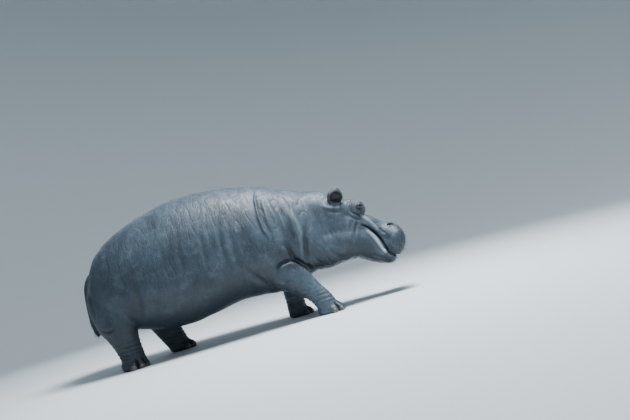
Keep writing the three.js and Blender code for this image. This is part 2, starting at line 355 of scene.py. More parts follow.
# ---------------- hide: blending and refining
# The hide bridges the hollows where the bodies meet, so the net is relaxed there. Round the eyes, ears,
# nostrils and toes it is made finer, because the forms there are only a few millimetres across.


def read(items, attribute, columns, kind=np.float32):
    """An attribute of all vertices, edges or corners of a mesh, as an array with that many columns."""
    flat = np.empty(len(items) * columns, kind)
    items.foreach_get(attribute, flat)
    return flat.reshape(-1, columns)


def places(mesh):
    """The vertices of a mesh as an array."""
    return read(mesh.vertices, "co", 3).astype(float)


def put(mesh, points):
    """Moves the vertices of a mesh to the points."""
    mesh.vertices.foreach_set("co", np.asarray(points, np.float32).ravel())
    mesh.update()


def normals(mesh):
    """The vertex normals of a mesh as an array."""
    return read(mesh.vertex_normals, "vector", 3).astype(float)


def relaxed(mesh, points, weight, times):
    """Each vertex goes half the way to the mean of its neighbours, times its weight, again and again."""
    edges = read(mesh.edges, "vertices", 2, np.int32)
    here, there = np.concatenate([edges, edges[:, ::-1]]).T
    count = np.bincount(here, minlength=len(points))
    share = 0.5 * weight[:, None]
    for _ in range(times):
        mean = np.stack([np.bincount(here, points[there, k], len(points)) / count for k in range(3)], -1)
        points = points + share * (mean - points)
    return points


def ramp(value, low, high):
    """0 up to low, 1 from high on, and a smooth S between. High may be below low."""
    t = np.clip((value - low) / (high - low), 0, 1)
    return t * t * (3 - 2 * t)


def hill(distance, width):
    """A rounded hill: 1 at no distance and nearly nothing at twice the width."""
    return np.exp(-(distance / width) ** 2)


def folded_over(points):
    """The points with the right side laid over the left."""
    return points * (1, 0, 1) + np.abs(points) * (0, 1, 0)


def mirrored_distance(head, place):
    """How far each point of the head's frame is from a place given for the left side, on either side."""
    return np.linalg.norm(folded_over(head) - place, axis=1)


points = from_frame(places(skin.data))
head = body_to_head(points)
thin = np.maximum.reduce([
    ramp(mirrored_distance(head, EAR_PLACE + (0, 20, EAR_RISE)), 142, 100),
    ramp(points[:, 2], 110, 60) * 0.92,
    ramp(points[:, 0], 190, 150) * ramp(points[:, 2], 800, 700) * (np.abs(points[:, 1]) < 90),
])
RELAXING = 52  # more steps on the finer net give the same width of blend
points = relaxed(skin.data, points, 1 - 0.97 * thin, RELAXING)
points = relaxed(skin.data, points, np.full(len(points), 0.8), 2)
put(skin.data, to_frame(points))


def refine(mesh, chosen):
    """Cuts each face whose corners are all chosen into four."""
    bm = bmesh.new()
    bm.from_mesh(mesh)
    bm.edges.ensure_lookup_table()
    inside = np.flatnonzero(chosen[read(mesh.edges, "vertices", 2, np.int32)].all(axis=1))
    edges = [bm.edges[i] for i in inside.tolist()]
    bmesh.ops.subdivide_edges(bm, edges=edges, cuts=1, use_grid_fill=True)
    bm.to_mesh(mesh)
    bm.free()


NOSTRIL = np.array([756.0, 110.0, 74.0])
FINE_PLACES = (EYE_PLACE, 100), (EAR_PLACE + (0, 0, EAR_RISE), 115), (NOSTRIL, 75)  # each with its reach
FINE_HEIGHT = 75  # the feet are finer up to here
FINEST_REACH = 52  # from the eye
points = from_frame(places(skin.data))
head = body_to_head(points)
fine = [mirrored_distance(head, place) < reach for place, reach in FINE_PLACES]
refine(skin.data, np.logical_or.reduce([*fine, points[:, 2] < FINE_HEIGHT]))
head = body_to_head(from_frame(places(skin.data)))
refine(skin.data, mirrored_distance(head, EYE_PLACE) < FINEST_REACH)

# ---------------- hide: folds
# Bare skin some 30 mm thick, which hangs in heavy folds at the neck and throat, in bags under the eyes and in
# fine rings round the wrists. A fold is a line seen from the side: the skin sinks along it and swells beside.

LATTICE = 32  # numbers along each side of the lattice, which repeats after them
random_lattice = np.random.default_rng(11).uniform(-1, 1, (LATTICE,) * 3)
LATTICE_TURN = turn_matrix(37, 23, 41)


def noise(points, size, shift):
    """Smooth relief from -1 to 1 with lumps of that size: seeded numbers on a turned lattice, blended."""
    place = (points / np.asarray(size, float)) @ LATTICE_TURN.T + shift
    cell = np.floor(place).astype(int)
    part = place - cell
    part = part * part * (3 - 2 * part)
    total = np.zeros(len(points))
    for corner in product((0, 1), repeat=3):
        weight = np.prod(np.where(corner, part, 1 - part), axis=1)
        i, j, k = ((cell + corner) % LATTICE).T
        total += weight * random_lattice[i, j, k]
    return total


def from_line(flat, line, samples=40):
    """Signed distance of flat points from a smooth line (positive on its left), and the share of the way."""
    line, _ = smooth_path(line, np.linspace(0, 1, samples))
    start, step = line[:-1], np.diff(line, axis=0)
    best = np.full(len(flat), np.inf)
    side = np.zeros(len(flat))
    share = np.zeros(len(flat))
    for i in range(samples - 1):
        away = flat - start[i]
        t = np.clip(away @ step[i] / (step[i] @ step[i]), 0, 1)
        gap = away - t[:, None] * step[i]
        far = np.hypot(gap[:, 0], gap[:, 1])
        closer = far < best
        best[closer] = far[closer]
        side[closer] = np.sign(step[i, 0] * away[closer, 1] - step[i, 1] * away[closer, 0])
        share[closer] = (i + t[closer]) / (samples - 1)
    return side * best, share


SWELL_PLACE, SWELL_WIDTH = 2.3, 1.5  # of the swelling beside a fold, in widths of the fold
FULL_FOLD, FULL_RIDGE = 16, 28  # mm from which a fold or ridge gets its full painted shade or painted highlight in the finish


class Relief:
    """Adds up how far the hide is pushed out (mm) and how deep in a fold each point lies (0 to 1), for
    painted shade in the folds, and how high on a ridge, for a painted highlight.
    """

    def __init__(self, count):
        self.push = np.zeros(count)
        self.fold = np.zeros(count)
        self.ridge = np.zeros(count)

    def line(self, flat, line, width, depth, left, right, gate, fade=0.15):
        """A fold: a groove along a line, of that width and depth, and a swelling to its left and right.

        All three are hills of the distance from the line. They die out over the share fade at each end, and
        show where the gate says. A negative depth is a ridge.
        """
        line = np.asarray(line, float)
        margin = 5 * width
        near = np.all((flat > line.min(0) - margin) & (flat < line.max(0) + margin), axis=1)
        near &= np.broadcast_to(gate, near.shape) > 0.01
        away, share = from_line(flat[near], line)
        strength = ramp(share, 0, fade) * ramp(1 - share, 0, fade) * np.broadcast_to(gate, near.shape)[near]
        groove = hill(away, width)
        place, wide = SWELL_PLACE * width, SWELL_WIDTH * width
        swell = left * hill(away - place, wide) + right * hill(away + place, wide)
        self.push[near] += strength * (swell - depth * groove)
        if depth > 0:
            self.fold[near] = np.maximum(self.fold[near], strength * groove * min(1, depth / FULL_FOLD))
        else:
            full = min(1, (depth / FULL_RIDGE) ** 2)
            self.ridge[near] = np.maximum(self.ridge[near], strength * groove * full)

    def swell(self, points, place, radii, height):
        """A hill of the distance from a place in units of the radii. A negative height makes a hollow."""
        away = (points - np.asarray(place)) / np.asarray(radii, float)
        self.push += height * hill(np.linalg.norm(away, axis=1), 1)


def modelled(points, facing):
    """The relief of the whole hide at points of the layout, with the way that they face."""
    relief = Relief(len(points))
    wander = np.stack([noise(points, 170, 3.3), noise(points, 170, 9.1)], -1)
    wander += 0.4 * np.stack([noise(points, 60, 5.2), noise(points, 60, 1.7)], -1)
    side_view = points[:, [0, 2]] + 7 * wander
    flank = ramp(np.abs(facing[:, 1]), 0.15, 0.5)
    right, left = points[:, 1] < 0, points[:, 1] > 0
    mirrored = folded_over(points)
    on_body = partial(relief.line, side_view)

    # neck: two heavy rings, a crease that runs down to the breast, and lesser folds between
    on_body([(1925, 1330), (1888, 1210), (1880, 1060), (1892, 920), (1935, 770)],
            12, -13, 0, -4, flank, 0.3)
    on_body([(1955, 1300), (1922, 1180), (1915, 1050), (1928, 920), (1975, 790)], 17, 9, 3, 0, flank, 0.35)
    on_body([(2080, 1262), (2140, 1130), (2190, 960), (2216, 834), (2212, 700), (2190, 580), (2222, 440)],
            36, -15, 0, 0, 0.8 + 0.2 * noise(points, 120, 2.9), 0.3)
    on_body([(2012, 1275), (2070, 1130), (2116, 960), (2136, 834), (2128, 700), (2105, 610)],
            22, 12, 0, 4, flank, 0.35)
    on_body([(2010, 800), (2060, 700), (2100, 590), (2150, 510), (2215, 450), (2285, 395)],
            21, 22, 8, 9, 1.0, 0.3)
    on_body([(2010, 1290), (2035, 1130), (2060, 960), (2050, 820), (2020, 720)], 18, 7, 4, 3, flank, 0.4)
    on_body([(1985, 1240), (1978, 1120), (1990, 1000), (2010, 880)], 12, 4, 2, 3, flank, 0.4)

    # trunk: shoulder and haunch, the fold behind the elbow, the fold before the thigh, the cleft at the tail
    relief.swell(mirrored, (1850, 400, 790), (200, 150, 260), 16)
    relief.swell(mirrored, (470, 400, 760), (230, 160, 250), 15)
    on_body([(1640, 690), (1690, 560), (1770, 450), (1830, 350)], 24, 12, 3, 8, flank, 0.4)
    on_body([(640, 780), (665, 620), (640, 480), (575, 370)], 34, 15, 5, 4, flank * right, 0.45)
    on_body([(800, 760), (828, 620), (812, 480), (780, 390)], 34, 14, 5, 4, flank * left, 0.45)
    on_body([(150, 860), (215, 720), (215, 560), (165, 430)], 24, 10, 4, 6, flank, 0.4)
    for x, depth in ((1120, 3.0), (1330, 4.0), (1500, 5.0), (1590, 3.5)):
        line = [(x + 30, 1180), (x, 980), (x - 8, 760), (x + 22, 560)]
        on_body(line, 20, depth, 2, 2, flank, 0.4)

    # the upper arm swells out over the breast, and a shadowed fold runs over it
    arm = [(1900, 500), (1950, 560), (2040, 580), (2130, 552), (2192, 490), (2250, 440)]
    on_body(arm, 15, 16, 0, 15, flank * right, 0.25)
    arm = [(1800, 520), (1860, 575), (1960, 590), (2060, 550), (2110, 470)]
    on_body(arm, 15, 12, 0, 11, flank * left, 0.3)

    # legs: rings of skin at the wrists and behind the knees, and creases that spread from the elbows
    ring = points[:, 2] + 9 * noise(points, 90, 4.4) + 3 * noise(points, 30, 2.2)
    for height, width, depth in ((118, 8, 5), (150, 9, 6), (186, 8, 4), (226, 9, 4), (268, 9, 3)):
        groove = hill(ring - height, width) * (points[:, 2] < 420)
        patch = 0.55 + 0.45 * noise(points, 80, height)
        relief.push -= depth * groove * patch
        relief.push += 0.5 * depth * (hill(ring - height - 15, 10) + hill(ring - height + 15, 10)) * patch
        relief.fold = np.maximum(relief.fold, 0.45 * groove * patch)
    on_body([(1900, 440), (1960, 400), (2040, 395)], 12, 5, 3, 3, flank * right, 0.3)
    on_body([(240, 430), (300, 400), (380, 405)], 13, 6, 3, 3, flank * right, 0.3)
    # the toes part from each other down to the pad
    for leg in LEGS.values():
        for angle in (-34, 0, 34):
            cleft = [toe_place(leg, angle, beyond, 0)[:2] for beyond in (-20, 5, 35, 70)]
            relief.line(points[:, :2], cleft, 9, 19, 5, 5, ramp(points[:, 2], 108, 66), 0.15)

    # head, in its own frame
    head = body_to_head(points)
    head_facing = body_to_head(facing + HEAD_ORIGIN)
    cheek = ramp(np.abs(head_facing[:, 1]), 0.25, 0.6) * ramp(head[:, 0], -140, -60)
    profile = head[:, [0, 2]] + 4 * wander
    folded = folded_over(head)
    top_view = folded[:, :2]
    on_face = partial(relief.line, profile)

    # the crease behind the jowl, and the wattle below it
    on_face([(-40, 120), (-72, 10), (-74, -110), (-56, -240), (-30, -350), (0, -420)],
            26, 30, 4, 12, 0.85 + 0.15 * noise(points, 90, 6.1), 0.45)
    # the ledge of thick skin that the ear stands on, and the hollow under it
    on_face([(60, 250), (100, 212), (170, 200), (240, 208), (290, 232)], 20, -9, 0, 0, cheek, 0.4)
    on_face([(110, 166), (170, 172), (230, 172), (275, 190)], 17, 6, 0, 0, cheek, 0.4)
    # brow, the bags under the eye, and the hollow of the cheek behind them
    on_face([(300, 288), (345, 302), (400, 303), (455, 282)], 13, -6, 0, -3, ramp(folded[:, 1], 60, 110))
    on_face([(352, 205), (380, 172), (432, 158), (478, 168)], 8, 6, 5, 3, cheek, 0.3)
    on_face([(330, 175), (365, 132), (425, 112), (480, 122)], 11, 6, 6, 3, cheek, 0.35)
    relief.swell(folded, (315, 230, 150), (52, 60, 44), -12)
    relief.swell(folded, (540, 150, 168), (45, 45, 26), -6)
    # the ridge from under the eye to the muzzle, the mouth below it and the ledge of the lower lip
    on_face([(425, 178), (467, 156), (507, 131), (548, 96), (594, 56), (625, 20), (648, -12)],
            19, -24, -3, 0, cheek, 0.35)
    on_face([(455, 70), (531, 41), (581, 6), (626, -34), (666, -80), (706, -146), (745, -200),
             (850, -213), (960, -213), (1040, -213)],
            8.5, 18, 3, 0, ramp(folded[:, 1] + 2 * head[:, 0], 900, 1000), 0.03)
    on_face([(480, 40), (524, 12), (577, -36), (624, -86), (664, -132), (696, -176), (722, -222)],
            19, -30, 0, -6, cheek * ramp(head[:, 0], 440, 640), 0.2)
    on_face([(448, 92), (412, 60), (398, 0), (410, -60)], 13, 6, 4, 4, cheek, 0.35)
    on_face([(400, 110), (366, 70), (352, 10), (360, -50)], 13, 3, 3, 3, cheek, 0.35)
    relief.swell(folded, (706, 190, -58), (38, 50, 44), -15)
    on_face([(640, 52), (668, 14), (704, -8)], 12, 8, 0, 5, cheek, 0.3)
    relief.swell(folded, (812, 175, -70), (80, 60, 90), 9)
    on_face([(560, -250), (600, -225), (668, -246), (760, -268)], 12, 6, 3, 4, cheek, 0.3)
    on_face([(120, -120), (180, -210), (280, -262), (400, -240)], 20, 4, 4, 4, cheek, 0.35)
    # nostrils: slanting slits with thick rims, and the dip between them
    slit = [(714, 127), (738, 120), (766, 114), (792, 115)]
    rim = ramp(head_facing[:, 2], -0.25, 0.05) * ramp(head[:, 2], 34, 58)
    relief.line(top_view, slit, 7.5, 28, 6, 7, rim, 0.25)
    up = head_facing[:, 2]
    relief.line(top_view, [(670, 0.1), (740, 0), (830, 0), (915, 0)], 16, 9, 0, 0, ramp(up, 0.1, 0.5))
    relief.line(top_view, [(560, 70), (620, 58), (690, 62)], 14, 5, 0, 3, ramp(up, 0.3, 0.6))
    # top of the skull: a low crest between the ears and creases across the forehead
    for x, depth in ((250, 2.5), (292, 3.5), (338, 3)):
        across = hill(head[:, 0] + 16 * wander[:, 0] + 5 * noise(points, 35, x) - x, 12)
        patch = ramp(folded[:, 1], 95, 30) * ramp(up, 0.3, 0.7) * (0.6 + 0.4 * noise(points, 60, x))
        relief.push -= depth * across * patch
    # rings of fine wrinkles round the eye, deepest below and behind it
    from_eye = mirrored_distance(head, EYE_PLACE) + 5 * noise(points, 45, 2.6) + 2 * noise(points, 16, 7.7)
    low_side = ramp(EYE_PLACE[2] - head[:, 2] + 0.7 * (EYE_PLACE[0] - head[:, 0]), -35, 30)
    low_side *= ramp(folded[:, 1], 60, 110)
    for reach, width, depth in ((49, 3.2, 2.6), (60, 3.6, 3.4), (74, 4.4, 3.2), (92, 5, 2.6)):
        groove = hill(from_eye - reach, width) * low_side * (0.65 + 0.35 * noise(points, 50, reach))
        relief.push -= depth * groove
        relief.push += 0.4 * depth * hill(from_eye - reach - 7, 5) * low_side
        relief.fold = np.maximum(relief.fold, 0.5 * groove)

    # the lie of the hide itself: soft lumps, then upright wrinkles, finer on the neck and head
    loose = ramp(points[:, 0], 1500, 1950)
    body = np.ones(len(points)) - ramp(mirrored_distance(head, EYE_PLACE), 90, 60)
    relief.push += body * 3.2 * noise(points, (210, 160, 210), 6.0)
    relief.push += body * 1.6 * noise(points, (60, 80, 120), 8.0)
    upright = noise(points, (26, 60, 110), 12.0)
    relief.push += body * (0.8 + 1.1 * loose) * upright
    relief.push -= body * (1.2 + 1.4 * loose) * hill(noise(points, (55, 80, 150), 21.0), 0.16)
    return relief


def eye_axes(side):
    """The way an eye looks: out, a little up and ahead, with its own up and forward directions."""
    out = np.array([0.30, side * 0.90, 0.26])
    out /= np.linalg.norm(out)
    up = np.array([-0.10, 0.0, 1.0])
    up -= out * (up @ out)
    up /= np.linalg.norm(up)
    return out, up, np.cross(out, up) * side


LID_CORNER, LID_UPPER, LID_LOWER = 58.0, 25.0, 20.0  # degrees from the middle of the eye
LID_GAP, LID_THICKNESS = 1.5, 6.5  # from the ball to the lid's edge, and what the lid gains beyond it
LID_REACH = 95  # how far from the ball's middle the hide is drawn


def shape_eyes(head):
    """Draws the hide into lids round each eyeball, in directions seen from the ball's middle.

    In front of the opening the hide lies behind the ball's surface. The lid's edge is an arch of the angle up
    or down over the angle ahead or behind. From there the lid stands a lid's thickness off the ball, and
    further out it runs into the brow. Two fine grooves follow the upper lid.
    """
    for side in SIDES.values():
        centre = EYE_PLACE * (1, side, 1)
        out, up, ahead = eye_axes(side)
        away = head - centre
        reach = np.linalg.norm(away, axis=1)
        near = reach < LID_REACH
        away, reach_near = away[near], reach[near]
        a, b, o = away @ ahead, away @ up, away @ out
        fore = np.degrees(np.arctan2(a, np.maximum(o, 1e-3)))
        rise = np.degrees(np.arctan2(b, np.hypot(a, np.maximum(o, 0))))
        arch = np.clip(1 - (fore / LID_CORNER) ** 2, 0, 1) ** 0.75
        outside = np.maximum(rise - LID_UPPER * arch, -LID_LOWER * arch - rise)
        past = np.maximum(np.abs(fore) - LID_CORNER, 0)
        outside = np.where(past > 0, np.hypot(past, np.maximum(outside, 0)), outside)
        lid = EYE_RADIUS + LID_GAP + LID_THICKNESS * ramp(outside, -1, 10)
        lid = lid - 2.2 * hill(outside - 24, 3.2) - 1.6 * hill(outside - 38, 3.5)
        lid = np.where(outside < 0, EYE_RADIUS + 2 - 9 * ramp(outside, 0, -7), lid)
        hold = ramp(outside, 72, 34) * ramp(o, -12, 6)
        target = reach_near + hold * (lid - reach_near)
        head[near] = centre + away * (target / reach_near)[:, None]
    return head


def shape_ears(head):
    """Presses the mouth side of each ear back into a cup, onto the far wall of a smaller ellipsoid."""
    for side in SIDES.values():
        local = in_ear(head, side)
        inside = across_cup(local)
        deep = CUP_RADII[1] * np.sqrt(np.clip(1 - inside, 0, 1)) * ramp(local[:, 2], -4, 34)
        floor = CUP_AHEAD - deep + 2.5 * noise(local, (16, 30, 60), 4.9)
        near = (inside < 1) & (local[:, 1] > floor) & (np.abs(local[:, 1]) < 60) & (local[:, 2] > -4)
        pressed = local.copy()
        pressed[near, 1] = floor[near]
        head = np.where(near[:, None], pressed @ ear_turn(side).T + EAR_PLACE * (1, side, 1), head)
    return head


points = from_frame(places(skin.data))
relief = modelled(points, normals(skin.data))
ground = ramp(points[:, 2], 4, 26)
points = points + normals(skin.data) * (relief.push * ground)[:, None]
points = head_to_body(shape_ears(shape_eyes(body_to_head(points))))
lids = ramp(mirrored_distance(body_to_head(points), EYE_PLACE), 62, 45)
points = relaxed(skin.data, points, 0.9 * lids, 3)
points[:, 2] = np.maximum(points[:, 2], 0)
put(skin.data, to_frame(points))

FINEST = 192000  # triangles that the finished hide may have
skin.data.calc_loop_triangles()
if len(skin.data.loop_triangles) > FINEST:
    thinner = skin.modifiers.new("thinner", "DECIMATE")
    thinner.ratio = FINEST / len(skin.data.loop_triangles)
    settled(skin)

# what the finish needs to know of the shape: how deep in a fold and how high on a ridge a point lies, where
# the skin is rosy, and where painted shade goes in the hollows and on the undersides
points = from_frame(places(skin.data))
facing = normals(skin.data)
relief = modelled(points, facing)
head = body_to_head(points)
rosy = np.maximum.reduce([
    0.45 * hill(mirrored_distance(head, EYE_PLACE), 55),
    0.8 * hill(mirrored_distance(head, EAR_PLACE + (0, 30, EAR_RISE)), 70),
    0.55 * hill(mirrored_distance(head, NOSTRIL), 50),
])
# painted shade: darker where the hide faces down, over the lower hind half, and a little over the whole body
# behind the head
underside_shade = ramp(facing[:, 2] + 0.25 * noise(points, 130, 3.9), 0.05, -0.75) * ramp(points[:, 2], 90, 260)
low = ramp(points[:, 2] + 70 * noise(points, 190, 8.8), 700, 330) * ramp(points[:, 0], 1900, 1300)
underside_shade = np.maximum.reduce([underside_shade, 0.9 * low, 0.2 * ramp(points[:, 0], 2150, 1750)])
# painted shade: dark in the ear cups, in a ring round each eye's opening and in the nostril slits
hollow = np.zeros(len(points))
for side in SIDES.values():
    local = in_ear(head, side)
    to_mouth = body_to_head(facing + HEAD_ORIGIN) @ ear_turn(side)[:, 1]
    cup = ramp(across_cup(local), 0.95, 0.55) * (np.abs(local[:, 1]) < 56) * ramp(to_mouth, 0, 0.4)
    hollow = np.maximum(hollow, 0.65 * cup)
    out = eye_axes(side)[0]
    away = head - EYE_PLACE * (1, side, 1)
    hollow = np.maximum(hollow, 0.9 * ramp(np.linalg.norm(away, axis=1), 37, 31.5) * (away @ out > 0))
hollow = np.maximum(hollow, ramp(relief.fold, 0.45, 0.9) * (mirrored_distance(head, NOSTRIL) < 62))
carried_values = {
    "fold": relief.fold, "ridge": relief.ridge, "rosy": rosy, "hollow": hollow, "underside_shade": underside_shade,
}
for name, value in carried_values.items():
    layer = skin.data.attributes.new(name, "FLOAT", "POINT")
    layer.data.foreach_set("value", np.clip(value, 0, 1).astype(np.float32))

# ---------------- hide: finish
# Wet hippopotamus hide: a thin smooth outer layer over dense dermis, crazed all over into small plates, slate
# grey with darker and lighter clouds, pinkish brown where it is thin round the eyes, ears and nostrils.
# Painted shade darkens the folds, the hollows and the undersides, and a painted highlight lightens the
# ridges. It shines softly when damp.


def colour(code):
    """An sRGB hex value as linear red, green, blue and full alpha."""
    parts = [int(code[i:i + 2], 16) / 255 for i in (1, 3, 5)]
    return [c / 12.92 if c <= 0.04045 else ((c + 0.055) / 1.055) ** 2.4 for c in parts] + [1.0]


def new_material(name):
    """A material and its tree of nodes, which is empty."""
    material = bpy.data.materials.new(name)
    material.use_nodes = True
    material.node_tree.nodes.clear()
    return material, material.node_tree


def add(tree, kind, inputs=(), **settings):
    """A node of that kind with its settings. An input, by label or number, is a value or a socket to link."""
    node = tree.nodes.new(kind)
    for name, value in settings.items():
        setattr(node, name, value)
    for key, value in dict(inputs).items():
        if isinstance(value, bpy.types.NodeSocket):
            tree.links.new(value, node.inputs[key])
        else:
            node.inputs[key].default_value = value
    return node


def layered(tree, base, layers):
    """Tones laid over each other. A layer: a value, the range of it that fades in, its strength, its tone."""
    for value, low, high, strength, tone in layers:
        share = add(tree, "ShaderNodeMapRange", {0: value, 1: low, 2: high, 4: strength}).outputs[0]
        base = add(tree, "ShaderNodeMix", {0: share, 6: base, 7: colour(tone)}, data_type="RGBA").outputs[2]
    return base


def cloud(tree, size_mm, detail=3.0, stretch=(1, 1, 1), roughness=0.55):
    """Noise from 0 to 1 with clouds of a real size, packed closer along an axis by the stretch."""
    place = add(tree, "ShaderNodeTexCoord").outputs["Object"]
    place = add(tree, "ShaderNodeMapping", {"Vector": place, "Scale": stretch}).outputs[0]
    inputs = {"Vector": place, "Scale": 1000 / size_mm, "Detail": detail, "Roughness": roughness}
    return add(tree, "ShaderNodeTexNoise", inputs).outputs["Fac"]


def cracks(tree, size_mm, stretch=(1, 1, 1)):
    """Distance to the nearest edge of a net of uneven cells of a real size: 0 in the cracks."""
    place = add(tree, "ShaderNodeTexCoord").outputs["Object"]
    warp = add(tree, "ShaderNodeTexNoise", {"Vector": place, "Scale": 700 / size_mm, "Detail": 2.0})
    moved = {0: warp.outputs["Color"], 1: (0.6 * size_mm * MM,) * 3, 2: place}
    place = add(tree, "ShaderNodeVectorMath", moved, operation="MULTIPLY_ADD").outputs[0]
    place = add(tree, "ShaderNodeMapping", {"Vector": place, "Scale": stretch}).outputs[0]
    inputs = {"Vector": place, "Scale": 1000 / size_mm}
    return add(tree, "ShaderNodeTexVoronoi", inputs, feature="DISTANCE_TO_EDGE").outputs["Distance"]


def bumped(tree, layers):
    """Bumps on bumps: each layer is a height from 0 to 1, how far it rises in mm, and its strength."""
    normal = None
    for height, rise, strength in layers:
        inputs = {"Height": height, "Distance": rise * MM, "Strength": strength}
        if normal:
            inputs["Normal"] = normal
        normal = add(tree, "ShaderNodeBump", inputs).outputs[0]
    return normal


hide, tree = new_material("damp_slate_hide")
fold, ridge, rosy_skin, hollow, underside_shade = (
    add(tree, "ShaderNodeAttribute", attribute_name=name).outputs["Fac"] for name in carried_values
)
crazing = cracks(tree, 7.5, (1, 1, 0.55))
patches = add(tree, "ShaderNodeMapRange", {0: cloud(tree, 110), 1: 0.4, 2: 0.62, 3: 0.15}).outputs[0]
thin_lines = add(tree, "ShaderNodeMapRange", {0: crazing, 1: 0.13, 2: 0.0}).outputs[0]
crack_lines = add(tree, "ShaderNodeMath", {0: thin_lines, 1: patches}, operation="MULTIPLY").outputs[0]
slate = layered(tree, colour("#313c45"), (
    (cloud(tree, 420), 0.35, 0.65, 1.0, "#404d58"),  # broad clouds
    (cloud(tree, 90, 4.0), 0.52, 0.72, 0.5, "#586972"),  # paler bloom
    (cloud(tree, 140, 5.0, (1, 1, 0.5)), 0.53, 0.68, 0.55, "#232c33"),  # dark upright stains
    (cloud(tree, 14), 0.6, 0.74, 0.35, "#7f9099"),  # scuffs
    (cloud(tree, 9, 2.0), 0.62, 0.74, 0.6, "#1b2227"),  # spots
    (rosy_skin, 0.1, 0.9, 0.55, "#5d5153"),
    (ridge, 0.1, 1.0, 0.75, "#b3c0c4"),  # painted highlight along the ridges, partly also paler rubbed skin at the lip edges
    (crack_lines, 0.0, 1.0, 0.3, "#20262a"),
    # painted shade on the undersides and the lower hind half
    (underside_shade, 0.0, 1.0, 0.85, "#1a2127"),
    # painted shade in the folds, creases and wrinkle rings
    (fold, 0.1, 1.0, 0.65, "#1d2226"),
    # painted shade in the ear cups, round the eyes and in the nostrils
    (hollow, 0.0, 1.0, 0.9, "#1b1819"),
))
wet = add(tree, "ShaderNodeMapRange", {0: cloud(tree, 55, 4.0), 1: 0.3, 2: 0.7, 3: 0.38, 4: 0.58}).outputs[0]
wet = add(tree, "ShaderNodeMath", {0: wet, 1: hollow}, operation="MAXIMUM").outputs[0]
relief_normal = bumped(tree, (
    (cloud(tree, 34, 5.0, (2.8, 1.5, 0.5), 0.62), 6.0, 0.6),  # upright wrinkles
    (add(tree, "ShaderNodeMapRange", {0: crazing, 2: 0.22}).outputs[0], 0.8, 0.35),  # plates
    (cloud(tree, 3.5, 2.0), 0.7, 0.35),  # pores
))
shader = add(tree, "ShaderNodeBsdfPrincipled", {
    "Base Color": slate, "Roughness": wet, "Normal": relief_normal, "IOR": 1.42, "Metallic": 0.0,
})
add(tree, "ShaderNodeOutputMaterial", {0: shader.outputs[0]})
skin.data.materials.clear()
skin.data.materials.append(hide)

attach(skin, "root")
flesh = ["trunk", "neck", "tail", "head", "lower_jaw", "ear_left", "ear_right"]
flesh += [part + leg for part in ("leg_", "foot_") for leg in LEGS]
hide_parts(*flesh)

# ---------------- eyes
# Dark brown eyes with a low bulging cornea and an upright dull rim, set deep between the lids. The ball is
# one wet glossy body; iris and pupil are told apart by the angle from the way that the eye looks.

def lay_map(mesh, name, flat):
    """Gives a mesh a UV map from one place per vertex."""
    corners = read(mesh.loops, "vertex_index", 1, np.int32)[:, 0]
    mesh.uv_layers.new(name=name).data.foreach_set("uv", flat[corners].astype(np.float32).ravel())


eye_finish, tree = new_material("wet_brown_eye")
gaze = add(tree, "ShaderNodeUVMap", uv_map="gaze").outputs[0]


def from_gaze(tree, wide, high):
    """Distance from the middle of the gaze map, where the ellipse of those radii is at 1."""
    moved = {0: gaze, 1: (1 / wide, 1 / high, 0), 2: (-0.5 / wide, -0.5 / high, 0)}
    offset = add(tree, "ShaderNodeVectorMath", moved, operation="MULTIPLY_ADD").outputs[0]
    return add(tree, "ShaderNodeVectorMath", {0: offset}, operation="LENGTH").outputs["Value"]


fibres = add(tree, "ShaderNodeTexNoise", {"Vector": gaze, "Scale": 40.0, "Detail": 3.0}).outputs["Fac"]
ball = layered(tree, colour("#140d09"), (
    (fibres, 0.35, 0.65, 1.0, "#2c1c11"),  # iris
    (from_gaze(tree, 0.33, 0.33), 0.9, 1.05, 1.0, "#231c19"),  # the dull ball round it
    (from_gaze(tree, 0.15, 0.085), 1.08, 0.9, 1.0, "#050404"),  # a pupil that lies level
))
shader = add(tree, "ShaderNodeBsdfPrincipled", {
    "Base Color": ball, "Roughness": 0.07, "IOR": 1.38, "Coat Weight": 0.6, "Coat Roughness": 0.03,
})
add(tree, "ShaderNodeOutputMaterial", {0: shader.outputs[0]})


def eyeball(side):
    """A ball with its pole the way the eye looks, swollen there by a twentieth as the cornea.

    Rings are angles from the gaze; the map holds the direction's share across and up, 0.5 in the middle.
    """
    out, up, ahead = eye_axes(side)
    angle = np.linspace(0, np.pi, 49)[:, None]
    turn = np.linspace(0, 2 * np.pi, 64, endpoint=False)[None, :]
    reach = (EYE_RADIUS - 0.6) * (1 + 0.05 * hill(angle, 0.6))
    across = reach * np.sin(angle) * np.cos(turn)
    rise = reach * np.sin(angle) * np.sin(turn)
    deep = reach * np.cos(angle) * np.ones_like(turn)
    rings = across[..., None] * ahead + rise[..., None] * up + deep[..., None] * out
    return on_head(closed(rings + EYE_PLACE * (1, side, 1)))


for name, side in SIDES.items():
    vertices, faces = eyeball(side)
    eye = new_piece(f"eyeball_{name}", to_frame(vertices), faces)
    out, up, ahead = eye_axes(side)
    away = (body_to_head(vertices) - EYE_PLACE * (1, side, 1)) / EYE_RADIUS
    behind = np.where(away @ out < 0, 4.0, 1.0)
    flat = np.stack([0.5 + 0.5 * (away @ ahead) * behind, 0.5 + 0.5 * (away @ up) * behind], -1)
    lay_map(eye.data, "gaze", flat)
    eye.data.materials.append(eye_finish)
    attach(eye, "root")
    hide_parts(f"eye_{name}")

# ---------------- nails
# Four short broad nails on each foot, dull grey-brown horn grown in layers, worn flat where they touch the
# ground. Each is a blunt cap over the toe's tip, thicker at its lower edge.

